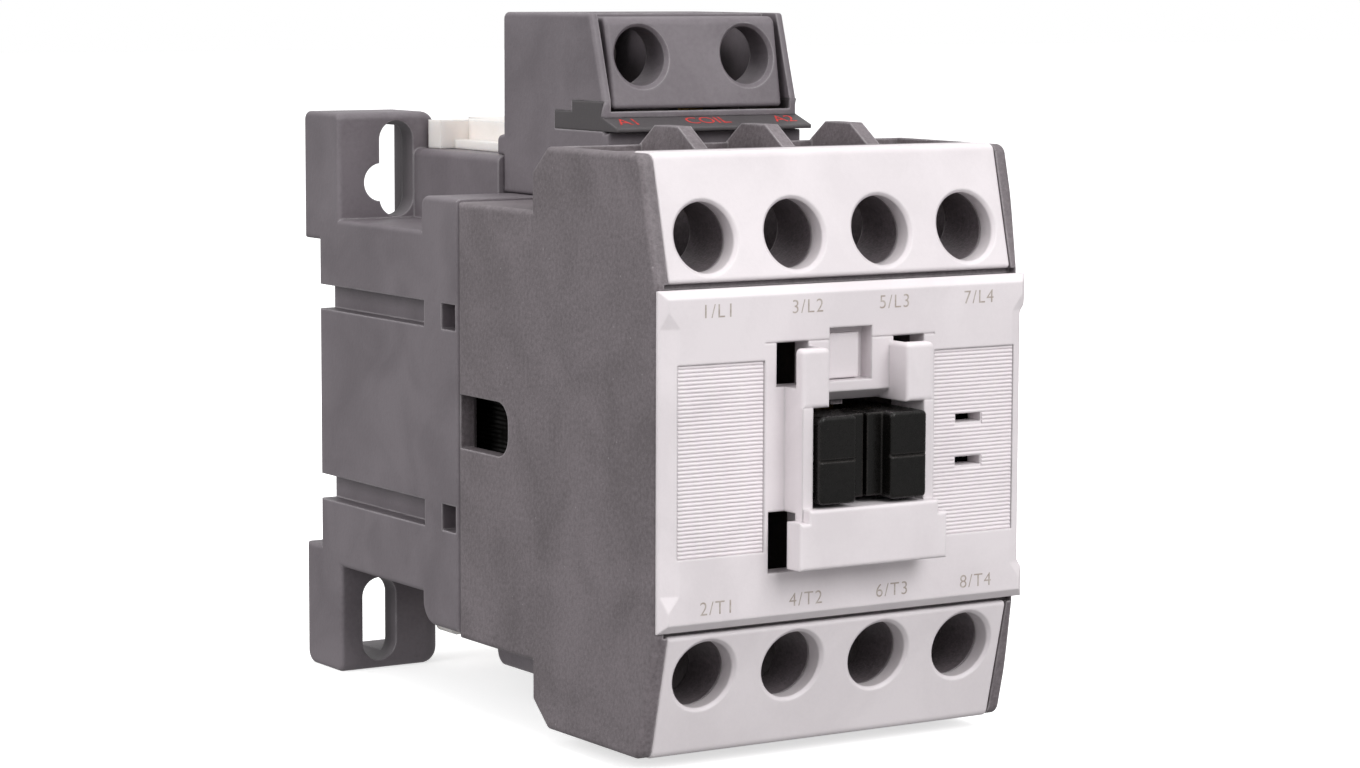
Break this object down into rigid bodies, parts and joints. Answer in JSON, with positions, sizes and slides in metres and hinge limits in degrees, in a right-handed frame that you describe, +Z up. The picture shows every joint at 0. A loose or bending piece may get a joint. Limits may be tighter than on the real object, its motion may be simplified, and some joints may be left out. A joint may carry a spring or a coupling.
{
  "type": "din rail contactor",
  "caption": "Multi-pole power contactor for a 35 mm rail or a panel, with front terminals, top coil terminals, a guarded moving carrier and a sprung rail latch.",
  "frame": {"origin": "centre of the rail recess on the plane of the four ears' back faces", "axes": "+X to the right across the poles as seen from the front, +Y towards the rail or panel behind, +Z up with the coil terminals on top"},
  "size_m": [0.045, 0.0815, 0.0753],
  "materials": {
    "base_grey": "satin",
    "housing_grey": "matt, fine grain",
    "cover_white": "satin",
    "marker_grey": "satin",
    "label_grey": "matt",
    "latch_white": "satin",
    "carrier_black": "glossy",
    "bobbin_plastic": "satin",
    "pad_rubber": "matt",
    "core_steel": "stacked laminations",
    "shading_copper": "bright copper",
    "winding_copper": "enamelled copper wire",
    "strip_brass": "satin",
    "tip_silver": "satin silver",
    "screw_steel": "zinc plated",
    "clamp_steel": "zinc plated",
    "spring_steel": "drawn wire"
  },
  "bodies": {
    "housing": {"base_housing": "base_grey", "upper_housing": "housing_grey", "terminal_cover_top": "cover_white", "terminal_cover_bottom": "cover_white", "front_cover": "cover_white", "marker_plate": "marker_grey", "coil_terminal_housing": "base_grey", "coil_label_strip": "label_grey", "coil_terminal_cover": "base_grey", "fixed_core": "core_steel", "shading_rings": "shading_copper", "core_pad": "pad_rubber", "coil_bobbin": "bobbin_plastic", "coil_winding": "winding_copper", "coil_terminals": "strip_brass", "line_contacts": "strip_brass", "load_contacts": "strip_brass", "fixed_contact_tips": "tip_silver", "return_spring_upper": "spring_steel", "return_spring_lower": "spring_steel", "latch_anchor": "latch_white", "latch_spring": "spring_steel"},
    "carrier": {"contact_carrier": "carrier_black", "armature": "core_steel", "armature_pin": "screw_steel", "contact_spring_1": "spring_steel", "contact_spring_2": "spring_steel", "contact_spring_3": "spring_steel", "contact_spring_4": "spring_steel"},
    "latch": {"din_latch": "latch_white"},
    "bridge_1": {"moving_bridge_1": "strip_brass"},
    "bridge_2": {"moving_bridge_2": "strip_brass"},
    "bridge_3": {"moving_bridge_3": "strip_brass"},
    "bridge_4": {"moving_bridge_4": "strip_brass"},
    "terminal_1_clamp": {"terminal_clamp_1": "clamp_steel"},
    "terminal_1_screw": {"terminal_screw_1": "screw_steel"},
    "terminal_2_clamp": {"terminal_clamp_2": "clamp_steel"},
    "terminal_2_screw": {"terminal_screw_2": "screw_steel"},
    "terminal_3_clamp": {"terminal_clamp_3": "clamp_steel"},
    "terminal_3_screw": {"terminal_screw_3": "screw_steel"},
    "terminal_4_clamp": {"terminal_clamp_4": "clamp_steel"},
    "terminal_4_screw": {"terminal_screw_4": "screw_steel"},
    "terminal_5_clamp": {"terminal_clamp_5": "clamp_steel"},
    "terminal_5_screw": {"terminal_screw_5": "screw_steel"},
    "terminal_6_clamp": {"terminal_clamp_6": "clamp_steel"},
    "terminal_6_screw": {"terminal_screw_6": "screw_steel"},
    "terminal_7_clamp": {"terminal_clamp_7": "clamp_steel"},
    "terminal_7_screw": {"terminal_screw_7": "screw_steel"},
    "terminal_8_clamp": {"terminal_clamp_8": "clamp_steel"},
    "terminal_8_screw": {"terminal_screw_8": "screw_steel"},
    "coil_1_clamp": {"coil_clamp_1": "clamp_steel"},
    "coil_1_screw": {"coil_screw_1": "screw_steel"},
    "coil_2_clamp": {"coil_clamp_2": "clamp_steel"},
    "coil_2_screw": {"coil_screw_2": "screw_steel"}
  },
  "joints": [
    {"name": "carrier_slide", "type": "slide", "parent": "housing", "child": "carrier", "axis": [0, 1, 0], "range_m": [0, 0.0055], "stiffness_N_per_m": 500, "springref_m": -0.01, "deforming": ["return_spring_upper", "return_spring_lower"]},
    {"name": "bridge_1_slide", "type": "slide", "parent": "carrier", "child": "bridge_1", "axis": [0, 1, 0], "range_m": [-0.002, 0], "deforming": ["contact_spring_1"]},
    {"name": "bridge_2_slide", "type": "slide", "parent": "carrier", "child": "bridge_2", "axis": [0, 1, 0], "range_m": [-0.002, 0], "deforming": ["contact_spring_2"]},
    {"name": "bridge_3_slide", "type": "slide", "parent": "carrier", "child": "bridge_3", "axis": [0, 1, 0], "range_m": [-0.002, 0], "deforming": ["contact_spring_3"]},
    {"name": "bridge_4_slide", "type": "slide", "parent": "carrier", "child": "bridge_4", "axis": [0, 1, 0], "range_m": [-0.002, 0], "deforming": ["contact_spring_4"]},
    {"name": "latch_slide", "type": "slide", "parent": "housing", "child": "latch", "axis": [0, 0, -1], "range_m": [0, 0.0032], "stiffness_N_per_m": 800, "springref_m": -0.004, "deforming": ["latch_spring"]},
    {"name": "terminal_1_lift", "type": "slide", "parent": "housing", "child": "terminal_1_clamp", "axis": [0, -1, 0], "range_m": [0, 0.0035]},
    {"name": "terminal_1_turn", "type": "hinge", "parent": "terminal_1_clamp", "child": "terminal_1_screw", "pos_m": [-0.01597, -0.05852, 0.02185], "axis": [0, -1, 0], "range_deg": [0, 1800]},
    {"name": "terminal_2_lift", "type": "slide", "parent": "housing", "child": "terminal_2_clamp", "axis": [0, -1, 0], "range_m": [0, 0.0035]},
    {"name": "terminal_2_turn", "type": "hinge", "parent": "terminal_2_clamp", "child": "terminal_2_screw", "pos_m": [-0.00532, -0.05852, 0.02185], "axis": [0, -1, 0], "range_deg": [0, 1800]},
    {"name": "terminal_3_lift", "type": "slide", "parent": "housing", "child": "terminal_3_clamp", "axis": [0, -1, 0], "range_m": [0, 0.0035]},
    {"name": "terminal_3_turn", "type": "hinge", "parent": "terminal_3_clamp", "child": "terminal_3_screw", "pos_m": [0.00532, -0.05852, 0.02185], "axis": [0, -1, 0], "range_deg": [0, 1800]},
    {"name": "terminal_4_lift", "type": "slide", "parent": "housing", "child": "terminal_4_clamp", "axis": [0, -1, 0], "range_m": [0, 0.0035]},
    {"name": "terminal_4_turn", "type": "hinge", "parent": "terminal_4_clamp", "child": "terminal_4_screw", "pos_m": [0.01597, -0.05852, 0.02185], "axis": [0, -1, 0], "range_deg": [0, 1800]},
    {"name": "terminal_5_lift", "type": "slide", "parent": "housing", "child": "terminal_5_clamp", "axis": [0, -1, 0], "range_m": [0, 0.0035]},
    {"name": "terminal_5_turn", "type": "hinge", "parent": "terminal_5_clamp", "child": "terminal_5_screw", "pos_m": [-0.01597, -0.05852, -0.02185], "axis": [0, -1, 0], "range_deg": [0, 1800]},
    {"name": "terminal_6_lift", "type": "slide", "parent": "housing", "child": "terminal_6_clamp", "axis": [0, -1, 0], "range_m": [0, 0.0035]},
    {"name": "terminal_6_turn", "type": "hinge", "parent": "terminal_6_clamp", "child": "terminal_6_screw", "pos_m": [-0.00532, -0.05852, -0.02185], "axis": [0, -1, 0], "range_deg": [0, 1800]},
    {"name": "terminal_7_lift", "type": "slide", "parent": "housing", "child": "terminal_7_clamp", "axis": [0, -1, 0], "range_m": [0, 0.0035]},
    {"name": "terminal_7_turn", "type": "hinge", "parent": "terminal_7_clamp", "child": "terminal_7_screw", "pos_m": [0.00532, -0.05852, -0.02185], "axis": [0, -1, 0], "range_deg": [0, 1800]},
    {"name": "terminal_8_lift", "type": "slide", "parent": "housing", "child": "terminal_8_clamp", "axis": [0, -1, 0], "range_m": [0, 0.0035]},
    {"name": "terminal_8_turn", "type": "hinge", "parent": "terminal_8_clamp", "child": "terminal_8_screw", "pos_m": [0.01597, -0.05852, -0.02185], "axis": [0, -1, 0], "range_deg": [0, 1800]},
    {"name": "coil_1_lift", "type": "slide", "parent": "housing", "child": "coil_1_clamp", "axis": [0, -1, 0], "range_m": [0, 0.003]},
    {"name": "coil_1_turn", "type": "hinge", "parent": "coil_1_clamp", "child": "coil_1_screw", "pos_m": [-0.00665, -0.03582, 0.039], "axis": [0, -1, 0], "range_deg": [0, 1800]},
    {"name": "coil_2_lift", "type": "slide", "parent": "housing", "child": "coil_2_clamp", "axis": [0, -1, 0], "range_m": [0, 0.003]},
    {"name": "coil_2_turn", "type": "hinge", "parent": "coil_2_clamp", "child": "coil_2_screw", "pos_m": [0.00665, -0.03582, 0.039], "axis": [0, -1, 0], "range_deg": [0, 1800]}
  ],
  "couplings": [
    {"joint": "bridge_1_slide", "follows": "carrier_slide", "ratio": -0.3636},
    {"joint": "bridge_2_slide", "follows": "carrier_slide", "ratio": -0.3636},
    {"joint": "bridge_3_slide", "follows": "carrier_slide", "ratio": -0.3636},
    {"joint": "bridge_4_slide", "follows": "carrier_slide", "ratio": -0.3636},
    {"joint": "terminal_1_turn", "follows": "terminal_1_lift", "rad_per_m": 8975},
    {"joint": "terminal_2_turn", "follows": "terminal_2_lift", "rad_per_m": 8975},
    {"joint": "terminal_3_turn", "follows": "terminal_3_lift", "rad_per_m": 8975},
    {"joint": "terminal_4_turn", "follows": "terminal_4_lift", "rad_per_m": 8975},
    {"joint": "terminal_5_turn", "follows": "terminal_5_lift", "rad_per_m": 8975},
    {"joint": "terminal_6_turn", "follows": "terminal_6_lift", "rad_per_m": 8975},
    {"joint": "terminal_7_turn", "follows": "terminal_7_lift", "rad_per_m": 8975},
    {"joint": "terminal_8_turn", "follows": "terminal_8_lift", "rad_per_m": 8975},
    {"joint": "coil_1_turn", "follows": "coil_1_lift", "rad_per_m": 10471},
    {"joint": "coil_2_turn", "follows": "coil_2_lift", "rad_per_m": 10471}
  ]
}
